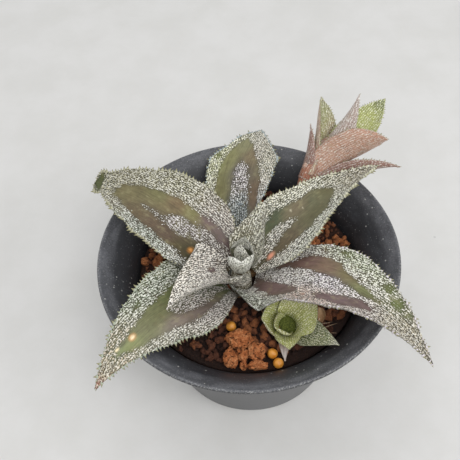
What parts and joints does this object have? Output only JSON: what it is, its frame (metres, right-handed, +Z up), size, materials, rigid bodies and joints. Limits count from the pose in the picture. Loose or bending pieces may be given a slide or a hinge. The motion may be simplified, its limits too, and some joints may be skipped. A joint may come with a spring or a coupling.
{
  "type": "potted bromeliad",
  "caption": "Rosette of toothed, silver-scaled strap leaves with two small offsets, growing in granular soil in a shallow round pot with a flared rim.",
  "frame": {"origin": "centre of the pot's base, on the surface it stands on", "axes": "+Z up along the pot's axis, +X to the viewer's right, -Y towards the viewer and the small green offset"},
  "size_m": [0.1286, 0.1303, 0.1029],
  "materials": {
    "pot_plastic": "satin",
    "soil_grain": "matte",
    "clay_grain": "matte",
    "feed_coating": "gloss",
    "leaf": "matte",
    "red_leaf": "matte",
    "green_leaf": "matte",
    "dry_leaf": "matte",
    "stem": "matte"
  },
  "bodies": {
    "root": {"pot": "pot_plastic", "soil": "soil_grain", "plant_stem": "stem", "front_offset_stem": "stem", "runner": "stem", "leaf_front_left": "leaf", "leaf_back": "leaf", "leaf_front_right": "leaf", "leaf_back_left": "leaf", "leaf_back_right": "leaf", "young_leaf_front": "leaf", "young_leaf_back": "leaf", "heart_leaf_front": "leaf", "heart_leaf_back": "leaf", "heart_leaf_inner": "leaf", "back_offset_leaf_left": "red_leaf", "back_offset_leaf_upper": "red_leaf", "back_offset_leaf_middle": "red_leaf", "back_offset_leaf_under": "red_leaf", "back_offset_leaf_broad": "red_leaf", "back_offset_leaf_right": "red_leaf", "front_offset_leaf_low": "green_leaf", "front_offset_leaf_tip": "green_leaf", "front_offset_leaf_left": "green_leaf", "front_offset_leaf_right": "green_leaf", "front_offset_leaf_front": "green_leaf", "front_offset_leaf_inner": "green_leaf", "dry_leaf_scrap": "dry_leaf", "clay_lump_wide": "clay_grain", "clay_lump_left": "clay_grain", "clay_lump_middle": "clay_grain", "clay_lump_right": "clay_grain", "clay_lump_low_right": "clay_grain", "clay_lump_low_middle": "clay_grain", "clay_lump_back_left": "clay_grain", "clay_lump_back_right": "clay_grain", "feed_pellet_left": "feed_coating", "feed_pellet_front": "feed_coating", "feed_pellet_low": "feed_coating"}
  },
  "joints": []
}
